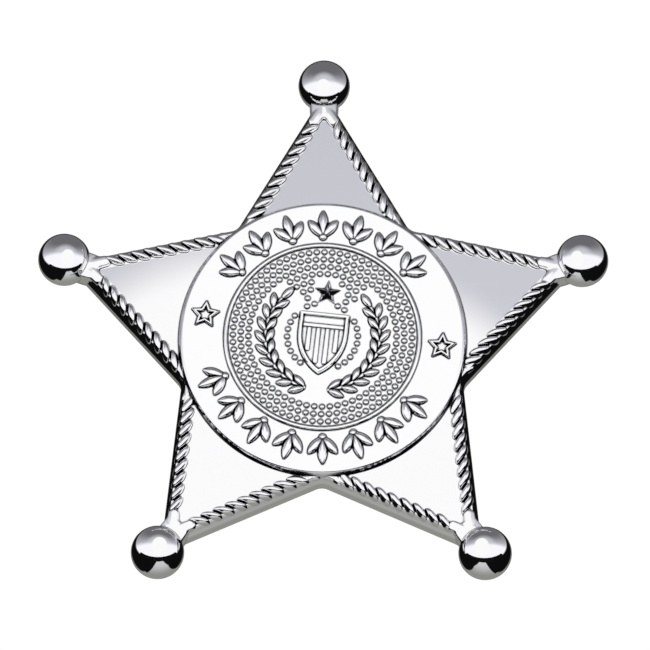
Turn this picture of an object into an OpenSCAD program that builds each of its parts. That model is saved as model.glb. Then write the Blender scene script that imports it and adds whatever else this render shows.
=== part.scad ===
// Star badge with ball tips, in millimetres: a cast star with a rope
// border and a hollow back, a struck medallion seated on its face, and a plain pin.
// The badge lies on its back rim: +Z is up, the top point is towards +Y.

/* [Star] */
// Radius at which the two straight edges of an arm would meet
tip_r = 32.8; // [28:0.2:38]
// Radius of the sharp corner between two arms
notch_r = 18; // [17.6:0.1:20]
// Radius of the fillet in the corner between two arms
notch_fillet = 1.5; // [0.5:0.1:3]
// Depth of the hollow in the back
hollow_h = 1.6; // [1.3:0.1:2]
// Thickness of the metal over the hollow back
plate_t = 1.1; // [0.8:0.1:1.4]
// Width of the solid rim round the hollow back
rim_w = 1.7; // [1.2:0.1:2.4]

/* [Rope border] */
// Width of the rope beside the medallion
rope_w = 1.7; // [1.4:0.1:2.4]
// Width of the rope beside a ball tip
rope_tip_w = 1.5; // [1:0.1:2]
// Height of the rope above the field
rope_rise = 0.85; // [0.5:0.05:1.3]
// Distance of the rope from the outer edge
rope_margin = 0.3; // [0.1:0.05:0.6]
// Distance from strand to strand along an edge
strand_pitch = 1.6; // [1.2:0.1:2.4]
// Angle between a strand and the edge it runs along
strand_angle = 40; // [35:1:60]
// Depth of the valley between two strands, as a share of the rope's height
strand_valley = 0.5; // [0.2:0.05:0.7]
// Plain stretch of the rope beside each corner
rope_plain = 1.2; // [0.5:0.1:3]

/* [Ball tips] */
// Diameter of a ball
ball_d = 6.4; // [5:0.1:8]
// Height of a ball's centre above the back
ball_z = 2.4; // [1.6:0.1:3]
// Distance of a ball's centre past the meeting point of the edges
ball_ahead = 0.5; // [-0.5:0.1:1.5]
// Diameter of the smooth neck between rope and ball
neck_d = 3.9; // [3:0.1:5]
// Height of the neck's top above the field
neck_rise = 0.8; // [0.4:0.05:1.4]
// Distance that the neck reaches inward past the ball
neck_reach = 0.9; // [0.3:0.1:2]

/* [Medallion] */
// Diameter of the medallion
disc_d = 34.4; // [30:0.2:35]
// Thickness of the medallion at its plain band
disc_t = 1; // [0.8:0.05:1.6]
// Distance that the medallion's sloped side widens down to its foot
disc_draft = 0.4; // [0.1:0.05:0.45]
// Radius of the medallion's rounded face edge
disc_round = 0.15; // [0.1:0.05:0.5]
// Clearance between the medallion and the ends of the rope
seat_gap = 0.05; // [0.03:0.01:0.2]
// Diameter of the thin raised ring, at its crest
ring_d = 23.5; // [20:0.1:25]
// Width of the raised ring
ring_w = 0.5; // [0.3:0.05:0.8]
// Height of the raised ring
ring_rise = 0.3; // [0.15:0.05:0.5]
// Turn of the medallion's design, seen from the face
disc_turn = -6; // [-15:1:15]

/* [Beaded ground] */
// Diameter of a bead
bead_d = 0.76; // [0.6:0.02:0.9]
// Distance between neighbouring beads
bead_pitch = 0.94; // [0.8:0.02:1.2]
// Gap between the raised ring and the outer row of beads
bead_gap = 0.25; // [0.1:0.05:0.6]
// Least gap between a bead and the relief it stops at
bead_relief_gap = 0.12; // [0.05:0.01:0.4]
// Height of a bead above the ground, as a share of its radius
bead_share = 0.8; // [0.5:0.05:0.9]

/* [Medallion relief] */
// Height of the relief on the medallion
relief_h = 0.55; // [0.3:0.05:0.9]
// Width of the shield
shield_w = 6; // [4:0.2:7]
// Height of the straight upper part of the shield
shield_flank = 2.6; // [1.5:0.1:3.5]
// Width of the shield's raised edge
shield_edge = 0.5; // [0.3:0.05:0.8]
// Number of upright ribs on the shield
shield_ribs = 4; // [3:1:6]
// Radius of the wreath's stem
wreath_r = 6.9; // [6.4:0.1:7.2]
// Length of a wreath leaf
leaf_l = 2.1; // [1.4:0.1:2.4]
// Width of a wreath leaf
leaf_w = 0.85; // [0.5:0.05:1.1]
// Radius of the small ridged star over the shield
crest_star_r = 1.7; // [1:0.1:2.2]
// Gap between the shield's head and the star over it
crest_gap = 1; // [0.5:0.1:1.5]
// Distance from the raised ring to the palmettes' roots
palmette_root_gap = 0.85; // [0.5:0.05:1.4]
// Plain space between the palmettes' tips and the medallion's rounded edge
palmette_tip_gap = 0.7; // [0.2:0.05:1]
// Width of a palmette leaf
palmette_leaf_w = 1.15; // [0.8:0.05:1.4]
// Distance between neighbouring palmettes at their roots
palmette_pitch = 3.75; // [3.4:0.05:5]
// Diameter of the berry at a palmette's root
berry_d = 0.9; // [0.6:0.05:1.2]
// Radius of the two small outline stars on the plain band
side_star_r = 1.85; // [1.2:0.05:2.4]
// Line width of the outline stars
side_star_line = 0.45; // [0.3:0.05:0.7]

/* [Pin] */
// Thickness of the pin wire
pin_d = 0.9; // [0.7:0.1:1.1]
// Distance between the middles of the pin's feet
pin_span = 27; // [22:1:30]
// Diameter of a pin foot
pin_foot_d = 2.2; // [1.6:0.1:3]
// Height of the pin line above the centre of the star
pin_y = 4; // [0:0.5:5]
// Gap between the wire and the top of the hollow
pin_gap = 0.1; // [0.05:0.05:0.2]
// Width of the slot in the plate behind the pin
slot_w = 6; // [4:0.5:6.5]

/* [Hidden] */
$fn = 96;
arms = 5;
step_angle = 360 / arms;
top_angle = 90;
// Half of the angle at an arm's tip, and the slant of an edge at the corner
tip_half = atan2(notch_r * sin(step_angle / 2), tip_r - notch_r * cos(step_angle / 2));
edge_normal = 90 - tip_half;
notch_slant = edge_normal - step_angle / 2;
edge_l = (tip_r - notch_r * cos(step_angle / 2)) / cos(tip_half);
ball_r = ball_d / 2;
ball_at = tip_r + ball_ahead;
// The badge's box is centred on the origin in plan
centre_y = -(ball_at * (1 - cos(step_angle / 2))) / 2;
// The flat field of the arms
field_h = hollow_h + plate_t;
neck_in = ball_at - ball_r - neck_reach;
neck_z = field_h + neck_rise - neck_d / 2;
// The rope's underside is sunk in the plate, and its ends in the neck and the corner
sink = 0.35;
rope_from = -0.8;
rope_to = edge_l - (tip_r - neck_in) / cos(tip_half) + strand_pitch;
rope_steps = 4;
// The rope's section is a rounded square of this power, drawn through these rows
rope_power = 2.4;
rope_rows = [-1, -0.8, -0.35, 0.2, 0.7, 1];
rope_fade = 1.4;
// Cuts run this far past the metal
over = 1;
disc_r = disc_d / 2;
disc_foot_r = disc_r + disc_draft;
face_z = field_h + disc_t;
ring_r = ring_d / 2;
bead_r = bead_d / 2;
beads_out = ring_r - ring_w / 2 - bead_gap - bead_r;
bead_rows = floor(beads_out / bead_pitch);
bead_clear = bead_r + bead_relief_gap;
// Lean of the wreath's leaves, its two ends as polar angles, and the free space past its top
leaf_angle = 32;
wreath_from = -78;
wreath_to = 38;
wreath_end = 16;
wreath_pairs = 9;
shield_top = 2.9;
crest_star_y = shield_top + crest_star_r + crest_gap;
// Middle and width of the two arcs that hold palmettes, as polar angles
palmette_arcs = [[96, 102], [268, 118]];
palmette_lean = 40;
side_leaf_share = 0.8;
side_star_at = (ring_r + ring_w / 2 + disc_r - disc_round) / 2;
palmette_root_r = ring_r + ring_w / 2 + palmette_root_gap;
palmette_l = disc_r - disc_round - palmette_tip_gap - palmette_root_r;
side_star_angles = [175, 1];
rib_share = 0.7;
// Sections of a leaf: place along it, width and height, as shares of the leaf's own sizes
leaf_shares = [[0.22, 0.8, 0.8], [0.52, 1, 1], [0.8, 0.6, 0.75]];
relief_sink = 0.1;
wire_z = hollow_h - pin_gap - pin_d / 2;

function polar(r, a) = [r * cos(a), r * sin(a)];
function mix(a, b, t) = a + (b - a) * max(0, min(1, t));

// Corner points of the star, drawn in by a constant distance all round
function star_points(inset, arc_steps = 6) = [
    for (k = [0:arms - 1])
        let (a = top_angle + k * step_angle,
             c = polar(notch_r + notch_fillet / cos(notch_slant), a + step_angle / 2),
             from = a + edge_normal + 180,
             to = a + step_angle - edge_normal + 180)
        each concat(
            [polar(tip_r - inset / sin(tip_half), a)],
            [for (i = [0:arc_steps]) c + polar(notch_fillet + inset, mix(from, to, i / arc_steps))])
];

module each_arm() {
    for (k = [0:arms - 1]) rotate(k * step_angle + top_angle) children();
}

// A twisted rope along one edge. X runs from the corner to the tip, Y inward.
module rope(lay) {
    last = ceil((rope_to - rope_from) / strand_pitch) * rope_steps;
    rows = len(rope_rows) - 1;
    function at(i, j) =
        let (along = rope_from + i * strand_pitch / rope_steps,
             w = mix(rope_w, rope_tip_w, along / edge_l),
             across = (rope_rows[j] + 1) / 2 * w,
             turn = 2 * (i % rope_steps) / rope_steps - 1,
             depth = strand_valley * mix(0, 1, (along - rope_plain) / rope_fade),
             round = pow(max(0, 1 - pow(abs(rope_rows[j]), rope_power)), 1 / rope_power))
        [along + lay * (across - w / 2) / tan(strand_angle),
         rope_margin + across,
         field_h - sink + (rope_rise + sink) * round * (1 - depth * (1 - sqrt(1 - turn * turn)))];
    function id(i, j) = i * (rows + 1) + j;
    polyhedron(
        points = [for (i = [0:last], j = [0:rows]) at(i, j)],
        faces = concat(
            [for (i = [0:last - 1], j = [0:rows - 1]) each [
                [id(i, j), id(i, j + 1), id(i + 1, j + 1)],
                [id(i, j), id(i + 1, j + 1), id(i + 1, j)]]],
            [for (i = [0:last - 1]) [id(i, 0), id(i + 1, 0), id(i + 1, rows), id(i, rows)]],
            [[for (j = [rows:-1:0]) id(0, j)], [for (j = [0:rows]) id(last, j)]]));
}

module edge_frame() {
    translate(polar(notch_r, -step_angle / 2)) rotate(tip_half) children();
}

// A smooth neck with a rounded inner end, turned about the arm's own line
module neck() {
    translate([neck_in, 0, neck_z]) rotate([0, 90, 0])
        rotate_extrude($fn = 48) polygon(concat(
            [[0, ball_at - neck_in], [0, 0]],
            [for (i = [1:5]) [neck_d / 2 * sin(i * 18), neck_reach * (1 - cos(i * 18))]],
            [[neck_d / 2, ball_at - neck_in]]));
}

module star_body() {
    color("gainsboro") translate([0, centre_y, 0]) difference() {
        union() {
            linear_extrude(field_h) polygon(star_points(0));
            each_arm() {
                edge_frame() rope(-1);
                mirror([0, 1, 0]) edge_frame() rope(1);
                neck();
                translate([ball_at, 0, ball_z]) sphere(d = ball_d);
            }
        }
        translate([0, 0, field_h]) cylinder(r = disc_foot_r + seat_gap, h = rope_rise + over);
        translate([0, 0, -over]) linear_extrude(hollow_h + over) polygon(star_points(rim_w));
        translate([0, pin_y, field_h])
            cube([pin_span - pin_foot_d, slot_w, 2 * (plate_t + over)], center = true);
        translate([0, 0, -ball_d]) cylinder(r = ball_at + ball_d, h = ball_d);
    }
}

function shield_points(inset) =
    let (w = shield_w / 2 - inset, y = shield_top - shield_flank, r = shield_w - inset)
    concat(
        [[-w, shield_top - inset], [-w, y]],
        [for (a = [190:10:230]) [shield_w / 2, y] + polar(r, a)],
        [[0, y - sqrt(r * r - shield_w * shield_w / 4)]],
        [for (a = [310:10:350]) [-shield_w / 2, y] + polar(r, a)],
        [[w, y], [w, shield_top - inset]]);

// A shield with a raised edge, a plain bar across its head and upright ribs below
module shield() {
    head = (shield_top - shield_edge) * 0.4;
    rib = (shield_w - 2 * shield_edge) / (2 * shield_ribs + 1);
    linear_extrude(relief_h * 0.35) polygon(shield_points(0));
    linear_extrude(relief_h) difference() {
        polygon(shield_points(0));
        polygon(shield_points(shield_edge));
    }
    linear_extrude(relief_h * rib_share) intersection() {
        polygon(shield_points(shield_edge * 0.8));
        union() {
            translate([-shield_w / 2, head]) square([shield_w, shield_edge]);
            for (i = [0:shield_ribs - 1])
                translate([-shield_w / 2 + shield_edge + (2 * i + 1) * rib, -shield_w])
                    square([rib, shield_w + head + shield_edge / 2]);
        }
    }
}

// A pointed leaf with a ridge, from the origin along +X
module leaf(l, w, h) {
    low = -relief_sink;
    n = len(leaf_shares);
    polyhedron(
        points = concat(
            [[0, 0, low], [l, 0, low]],
            [for (s = leaf_shares) [s[0] * l, s[1] * w / 2, low]],
            [for (s = leaf_shares) [s[0] * l, -s[1] * w / 2, low]],
            [for (s = leaf_shares) [s[0] * l, 0, s[2] * h]]),
        faces = concat(
            [for (i = [0:n - 2]) each [
                [2 + i, 3 + i, 3 + i + 2 * n], [2 + i, 3 + i + 2 * n, 2 + i + 2 * n],
                [3 + i + n, 2 + i + n, 2 + i + 2 * n], [3 + i + n, 2 + i + 2 * n, 3 + i + 2 * n]]],
            [[0, 2, 2 + 2 * n], [2 + n, 0, 2 + 2 * n]],
            [[1 + n, 1, 1 + 3 * n], [1, 1 + 2 * n, 1 + 3 * n]],
            [concat([0], [for (i = [0:n - 1]) 2 + n + i], [1], [for (i = [n - 1:-1:0]) 2 + i])]));
}

// A star with a ridge on every point
module ridged_star(r, h) {
    low = -relief_sink;
    polyhedron(
        points = concat(
            [[0, 0, h], [0, 0, low]],
            [for (i = [0:2 * arms - 1])
                let (p = polar(i % 2 == 0 ? r : r * 0.42, top_angle + i * step_angle / 2))
                [p[0], p[1], low]]),
        faces = [for (i = [0:2 * arms - 1]) each
            let (a = 2 + i, b = 2 + (i + 1) % (2 * arms)) [[0, b, a], [1, a, b]]]);
}

module outline_star(r, line) {
    difference() {
        polygon([for (i = [0:2 * arms - 1])
            polar(i % 2 == 0 ? r : r * 0.5, top_angle + i * step_angle / 2)]);
        polygon([for (i = [0:2 * arms - 1])
            polar(i % 2 == 0 ? r - 1.7 * line : r * 0.5 - line, top_angle + i * step_angle / 2)]);
    }
}

module wreath_branch() {
    rotate(wreath_from) rotate_extrude(angle = wreath_to - wreath_from)
        translate([wreath_r, 0]) circle(d = leaf_w * 0.6, $fn = 16);
    for (i = [0:wreath_pairs]) rotate(mix(wreath_from, wreath_to, i / wreath_pairs))
        translate([wreath_r, 0, 0])
            for (lean = i < wreath_pairs ? [-leaf_angle, leaf_angle] : [0])
                rotate(90 + lean) leaf(leaf_l, leaf_w, relief_h);
}

// Three ridged leaves that open outward from one root, with a berry at the root
module palmette() {
    for (lean = [-palmette_lean, palmette_lean])
        rotate(lean) leaf(palmette_l * side_leaf_share, palmette_leaf_w, relief_h);
    leaf(palmette_l, palmette_leaf_w, relief_h);
    sphere(d = berry_d, $fn = 24);
}

// As many palmettes as fit in an arc of the plain band, given by its middle and its width
module palmettes(middle, width) {
    gaps = floor(width * PI / 180 * palmette_root_r / palmette_pitch);
    turn = palmette_pitch / palmette_root_r * 180 / PI;
    for (i = [0:gaps]) rotate(middle + (i - gaps / 2) * turn)
        translate([palmette_root_r, 0, 0]) palmette();
}

// True where a bead of the ground stands clear of the shield, the wreath and the star
function bead_free(x, y) =
    let (r = norm([x, y]), a = atan2(y, abs(x)),
         reach = leaf_l * sin(leaf_angle) + leaf_w / 2 + bead_clear,
         near_wreath = abs(r - wreath_r) < reach && a < wreath_to + wreath_end,
         in_shield = abs(x) < shield_w / 2 + bead_clear && y < shield_top + bead_clear
             && norm([abs(x) + shield_w / 2, min(0, y - shield_top + shield_flank)])
                 < shield_w + bead_clear,
         near_star = norm([x, y - crest_star_y]) < crest_star_r * 0.8 + bead_clear)
    !near_wreath && !in_shield && !near_star;

module beads() {
    for (row = [0:bead_rows - 1])
        let (r = beads_out - row * bead_pitch, n = max(1, floor(2 * PI * r / bead_pitch)))
        for (i = [0:n - 1])
            let (p = polar(r, (i + row % 2 / 2) * 360 / n))
            if (bead_free(p[0], p[1]))
                translate([p[0], p[1], -bead_r * (1 - bead_share)]) sphere(d = bead_d, $fn = 16);
}

module centre_disc() {
    ridge = [for (i = [0:6]) [ring_r, face_z - ring_w / 2 + ring_rise] + polar(ring_w / 2, i * 30)];
    color("silver") translate([0, centre_y, 0]) {
        rotate_extrude() polygon(concat(
            [[0, field_h], [disc_foot_r, field_h]],
            [for (i = [0:5]) [disc_r - disc_round, face_z - disc_round] + polar(disc_round, i * 18)],
            [[ring_r + ring_w / 2, face_z]], ridge, [[ring_r - ring_w / 2, face_z]],
            [[0, face_z]]));
        translate([0, 0, face_z]) rotate(disc_turn) {
            beads();
            shield();
            wreath_branch();
            mirror([1, 0, 0]) wreath_branch();
            translate([0, crest_star_y, 0]) ridged_star(crest_star_r, relief_h);
            for (arc = palmette_arcs) palmettes(arc[0], arc[1]);
            for (a = side_star_angles)
                translate(polar(side_star_at, a)) linear_extrude(relief_h * 0.6)
                    outline_star(side_star_r, side_star_line);
        }
    }
}

module bar_pin() {
    color("darkgray") translate([0, centre_y + pin_y, 0]) {
        translate([-pin_span / 2, 0, wire_z]) rotate([0, 90, 0]) cylinder(d = pin_d, h = pin_span);
        for (side = [-1, 1]) translate([side * pin_span / 2, 0, wire_z - pin_d / 2])
            cylinder(d = pin_foot_d, h = pin_gap + pin_d);
    }
}

star_body();
centre_disc();
bar_pin();
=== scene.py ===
# %% [markdown]
# # A star badge with ball tips, dressed for the studio
# The badge is a chrome plated casting: a star with a twisted rope border and a ball on
# each point. A struck medallion sits on its face and a wire pin lies in its hollow back.
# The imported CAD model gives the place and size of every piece. This script builds a
# smoother and finer copy of each face that shows, in metres, in the same frame.

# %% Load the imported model
import math

import bpy
from mathutils import Matrix, Vector


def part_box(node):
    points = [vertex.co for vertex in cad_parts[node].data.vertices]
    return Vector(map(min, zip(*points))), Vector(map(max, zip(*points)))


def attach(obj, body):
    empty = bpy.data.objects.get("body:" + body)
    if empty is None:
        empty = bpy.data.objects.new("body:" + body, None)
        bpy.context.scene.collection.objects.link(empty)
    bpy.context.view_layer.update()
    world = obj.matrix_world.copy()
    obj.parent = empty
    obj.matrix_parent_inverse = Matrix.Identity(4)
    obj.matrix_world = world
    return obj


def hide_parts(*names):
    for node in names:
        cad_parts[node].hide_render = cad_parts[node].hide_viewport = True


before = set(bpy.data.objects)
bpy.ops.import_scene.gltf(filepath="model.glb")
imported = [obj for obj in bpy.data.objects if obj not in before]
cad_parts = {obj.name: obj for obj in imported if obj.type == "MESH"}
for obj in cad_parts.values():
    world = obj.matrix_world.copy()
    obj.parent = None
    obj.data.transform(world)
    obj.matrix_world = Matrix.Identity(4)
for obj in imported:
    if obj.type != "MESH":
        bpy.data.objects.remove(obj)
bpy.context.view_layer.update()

# %% [markdown]
# ## The camera
# A camera can be placed by numbers on its object, or by a matrix made from the
# direction it looks in. The matrix is used here, because the view has a small roll
# that Euler angles would hide. A long lens from far away keeps the balls equal in size.

# %% Place the camera
MM = 0.001
# The star's middle lies behind the middle of its outline box
CENTRE_Y = -3.18
CAMERA_ELEVATION = math.radians(70.9)
CAMERA_AZIMUTH = math.radians(1.9)
CAMERA_ROLL = math.radians(-1.65)
CAMERA_DISTANCE = 532.8
CAMERA_LENS = 242.1
# Height of the point that the camera is set out from, and how far right of and above
# it the middle of the picture lies, in mm
AIM_Z, AIM_RIGHT, AIM_UP = 0.73, 0.28, 2.36


def look_axes(elevation, azimuth, roll):
    """Right, up and backward directions of a camera above the badge."""
    back = Vector((math.sin(azimuth) * math.cos(elevation),
                   -math.cos(azimuth) * math.cos(elevation), math.sin(elevation)))
    right = (-back).cross(Vector((0, 0, 1))).normalized()
    up = back.cross(right)
    return (math.cos(roll) * right + math.sin(roll) * up,
            math.cos(roll) * up - math.sin(roll) * right, back)


right, up, back = look_axes(CAMERA_ELEVATION, CAMERA_AZIMUTH, CAMERA_ROLL)
aim = Vector((0, CENTRE_Y, AIM_Z))
eye = aim + CAMERA_DISTANCE * back
view = (eye - aim - AIM_RIGHT * right - AIM_UP * up).normalized()
side = up.cross(view).normalized()
camera = bpy.data.objects.new("camera", bpy.data.cameras.new("camera"))
bpy.context.scene.collection.objects.link(camera)
camera.matrix_world = Matrix.Translation(eye * MM) @ Matrix(
    (side, view.cross(side), view)).transposed().to_4x4()
camera.data.lens = CAMERA_LENS
camera.data.clip_start, camera.data.clip_end = 0.01, 10
bpy.context.scene.camera = camera
print("camera at mm:", [round(v, 1) for v in eye])

# %% [markdown]
# ## Materials by code
# A material is a tree of nodes. It can be wired by hand in the shader editor, but the
# same few wirings come back in every finish, so each has a short function. The first
# ones add a node, spread a value to a new range, place a pattern and make a noise.

# %% Add nodes, spread a value and make a noise
def node(tree, kind, **values):
    """Adds a node; values are sockets or, where no socket has the name, settings."""
    made = tree.nodes.new(kind)
    # The nodes lie in one row, in the order in which they are made
    made.location.x = 200 * len(tree.nodes)
    for word, value in values.items():
        if word in made.inputs:
            made.inputs[word].default_value = value
        else:
            setattr(made, word, value)
    return made


def spread(tree, source, from_range, to_range, kind="LINEAR"):
    """The source's from_range carried over to to_range, and held at its ends."""
    made = node(tree, "ShaderNodeMapRange", interpolation_type=kind)
    for word, value in zip(("From Min", "From Max", "To Min", "To Max"),
                           (*from_range, *to_range)):
        made.inputs[word].default_value = value
    tree.links.new(source, made.inputs["Value"])
    return made.outputs["Result"]


def mapped(tree, source, **values):
    made = node(tree, "ShaderNodeMapping", **values)
    tree.links.new(source, made.inputs["Vector"])
    return made.outputs["Vector"]


def noise(tree, source, scale, detail):
    made = node(tree, "ShaderNodeTexNoise", Scale=scale, Detail=detail)
    tree.links.new(source, made.inputs["Vector"])
    return made.outputs["Fac"]


print("pattern helpers ready")

# %% [markdown]
# ## The plated finish
# Chrome is a mirror with almost no colour of its own. Three things keep it from looking
# computed: a slow waviness from the polishing wheel, fine wiping marks that only change
# the gloss, and a few cast pits. They could be painted, but here they are procedural and
# read the object's own coordinates, so they stay put when the badge is turned.

# %% Wipe it, wave it and pit it
# The wiping's direction and grain, the part of its noise that shows, and how it dulls
WIPE_TURN, WIPE_GRAIN, WIPE_SHOWN, WIPE_DULL = 0.6, (90, 1400, 400), (0.35, 0.8), 0.05
WAVE_GRAIN, PIT_GRAIN, PIT_SPREAD = 160.0, 260.0, 0.12


def wiping_marks(tree, place, gloss):
    """Noise drawn out along one direction, which changes only the gloss."""
    wiped = mapped(tree, place, Rotation=(0, 0, WIPE_TURN), Scale=WIPE_GRAIN)
    marks = noise(tree, wiped, scale=1.0, detail=3.0)
    return spread(tree, marks, WIPE_SHOWN, (gloss, gloss + WIPE_DULL))


def waves_and_pits(tree, place, wave, pit):
    """Two bumps in a row with depths in mm: the slow waves, and the pits on top."""
    waves = node(tree, "ShaderNodeBump", Strength=1.0, Distance=wave * MM)
    tree.links.new(noise(tree, place, scale=WAVE_GRAIN, detail=1.0), waves.inputs["Height"])
    spots = node(tree, "ShaderNodeTexVoronoi", Scale=PIT_GRAIN)
    tree.links.new(place, spots.inputs["Vector"])
    pits = node(tree, "ShaderNodeBump", Strength=1.0, Distance=pit * MM)
    rise = spread(tree, spots.outputs["Distance"], (0.0, PIT_SPREAD), (0.0, 1.0))
    tree.links.new(rise, pits.inputs["Height"])
    tree.links.new(waves.outputs["Normal"], pits.inputs["Normal"])
    return waves, pits


print("polish has a grain of", WIPE_GRAIN)

# %% [markdown]
# ## Painted shade in the corners
# In the grooves of a relief a mirror sees only itself and turns black. A path tracer
# shows that only after many bounces, so an occlusion node paints that shade black into
# the colour of what stands in a tight corner, with a gentle ramp between black and unshaded.

# %% Paint shade into the corners
BLACK = (0.004, 0.004, 0.004)
# How much more open than clear_from a place without painted shade is, and the rays that measure
# it
CLEAR_BAND, CORNER_RAYS = 0.07, 12


def ramp_between(tree, source, low, high):
    """0 where the source is at or before low, 1 at or past high, gently in between."""
    if low < high:
        return spread(tree, source, (low, high), (0.0, 1.0), "SMOOTHSTEP")
    return spread(tree, source, (high, low), (1.0, 0.0), "SMOOTHSTEP")


def blend_colour(tree, share, first, second):
    """The first colour where the share is 0, the second where it is 1."""
    made = node(tree, "ShaderNodeMix", data_type="RGBA")
    tree.links.new(share, made.inputs["Factor"])
    for socket, value in zip((made.inputs[6], made.inputs[7]), (first, second)):
        if isinstance(value, tuple):
            socket.default_value = (*value, 1)
        else:
            tree.links.new(value, socket)
    return made.outputs[2]


def painted_corner_shade(tree, colour, corner, clear_from):
    """The colour with painted shade: black where less than clear_from of the surroundings is
    open.
    """
    reach = node(tree, "ShaderNodeAmbientOcclusion", samples=CORNER_RAYS)
    reach.inputs["Distance"].default_value = corner * MM
    unshaded = ramp_between(tree, reach.outputs["AO"], clear_from, clear_from + CLEAR_BAND)
    return blend_colour(tree, unshaded, BLACK, colour)


print("black in the corners:", BLACK)

# %% [markdown]
# ## A faint dome
# The star falls off a little towards its points, which shades the arms. Its solid
# stays flat, so the fall is a bump: the height drops evenly past a flatter middle.

# %% Dome the star
# Radius of the dome's flatter middle in mm, and the slope further out
DOME_FLAT, DOME_SLOPE = 6, 0.12


def math_node(tree, operation, *values):
    made = node(tree, "ShaderNodeMath", operation=operation)
    for socket, value in zip(made.inputs, values):
        if isinstance(value, (int, float)):
            socket.default_value = value
        else:
            tree.links.new(value, socket)
    return made.outputs[0]


def dome_bump(tree, parts):
    """A bump whose height falls off evenly with the distance from the star's middle."""
    past_middle = math_node(tree, "SUBTRACT", parts[1], CENTRE_Y * MM)
    squares = math_node(tree, "ADD",
                        math_node(tree, "POWER", parts[0], 2),
                        math_node(tree, "POWER", past_middle, 2))
    rounded = math_node(tree, "ADD", squares, (DOME_FLAT * MM) ** 2)
    far = math_node(tree, "SQRT", rounded)
    fall = math_node(tree, "MULTIPLY", far, -DOME_SLOPE)
    domed = node(tree, "ShaderNodeBump", Strength=1.0, Distance=1.0)
    tree.links.new(fall, domed.inputs["Height"])
    return domed.outputs["Normal"]


print("dome falls", DOME_SLOPE, "mm a mm past", DOME_FLAT, "mm")

# %% [markdown]
# ## Five platings
# The badge has one plating, but the rope, the relief and the medallion's rim get deeper
# painted shade in their corners than the flat fields. One material could hold masks for them
# all.
# Five materials from one function are easier to tune.

# %% Make the plated materials
def object_place(tree):
    """The place on the object as a vector, and its X, Y and Z."""
    place = node(tree, "ShaderNodeTexCoord").outputs["Object"]
    parts = node(tree, "ShaderNodeSeparateXYZ")
    tree.links.new(place, parts.inputs[0])
    return place, parts.outputs


def plated(name, colour, corner, clear_from, gloss=0.03, wave=0.002, pit=0.0, domed=False):
    """A bright plated metal with painted shade in its corners; corner is that shade's reach in
    mm.
    """
    material = bpy.data.materials.new(name)
    material.use_nodes = True
    tree = material.node_tree
    shader = tree.nodes["Principled BSDF"]
    shader.inputs["Metallic"].default_value = 1
    place, parts = object_place(tree)
    waves, pits = waves_and_pits(tree, place, wave, pit)
    if domed:
        tree.links.new(dome_bump(tree, parts), waves.inputs["Normal"])
    tree.links.new(wiping_marks(tree, place, gloss), shader.inputs["Roughness"])
    tree.links.new(painted_corner_shade(tree, colour, corner, clear_from), shader.inputs["Base Color"])
    tree.links.new(pits.outputs["Normal"], shader.inputs["Normal"])
    return material


STAR_COLOUR, MEDALLION_COLOUR = (0.94, 0.94, 0.95), (0.96, 0.96, 0.97)
CAST_WAVE, CAST_PIT, STRUCK_GLOSS = 0.004, 0.002, 0.025
star_plating = plated("star_plating", STAR_COLOUR, 0.25, 0.64,
                      wave=CAST_WAVE, pit=CAST_PIT, domed=True)
rope_plating = plated("rope_plating", STAR_COLOUR, 0.36, 0.74,
                      wave=CAST_WAVE, pit=CAST_PIT, domed=True)
medallion_plating = plated("medallion_plating", MEDALLION_COLOUR, 0.26, 0.86, STRUCK_GLOSS)
relief_plating = plated("relief_plating", MEDALLION_COLOUR, 0.36, 0.86, STRUCK_GLOSS)
# The rim's plating paints shade of a wider reach, which blackens the medallion's wall
rim_plating_with_painted_shade = plated("rim_plating_with_painted_shade", MEDALLION_COLOUR, 1.0, 0.92)
print("plated materials:", star_plating.name, medallion_plating.name)

# %% [markdown]
# ## The pin's steel
# The pin is drawn wire, which is greyer than chrome and has fine lines along its length.
# An anisotropic shader could blur the light along the wire, but plain noise that is drawn
# out along X does it too, so the noise sets the gloss.

# %% Make the wire's steel
WIRE_COLOUR, WIRE_GRAIN, WIRE_GLOSS = (0.62, 0.62, 0.63), (60, 3000, 3000), (0.25, 0.45)
wire_steel = bpy.data.materials.new("wire_steel")
wire_steel.use_nodes = True
tree = wire_steel.node_tree
shader = tree.nodes["Principled BSDF"]
shader.inputs["Metallic"].default_value = 1
shader.inputs["Base Color"].default_value = (*WIRE_COLOUR, 1)
drawn = mapped(tree, object_place(tree)[0], Scale=WIRE_GRAIN)
lines = noise(tree, drawn, scale=1.0, detail=2.0)
tree.links.new(spread(tree, lines, (0.0, 1.0), WIRE_GLOSS), shader.inputs["Roughness"])
print("wire steel has a gloss of", WIRE_GLOSS)

# %% [markdown]
# ## The studio's room
# A mirror shows what stands round it, so most of the look is made here. The room could
# be walls with lamps, but a world shader can draw it from the direction alone. Its
# ceiling is white and greyer to the back, and its back wall darkens downwards. In front
# it is black under a slanted line, with a pale table that shows as a wedge.

# %% Paint the room's walls
world = bpy.data.worlds.new("studio")
bpy.context.scene.world = world
world.use_nodes = True
sky = world.node_tree
direction = node(sky, "ShaderNodeTexCoord")
axes = node(sky, "ShaderNodeSeparateXYZ")
sky.links.new(direction.outputs["Generated"], axes.inputs[0])
# The three parts of the direction in which the mirror looks
to_right, to_back, upward = axes.outputs
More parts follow.
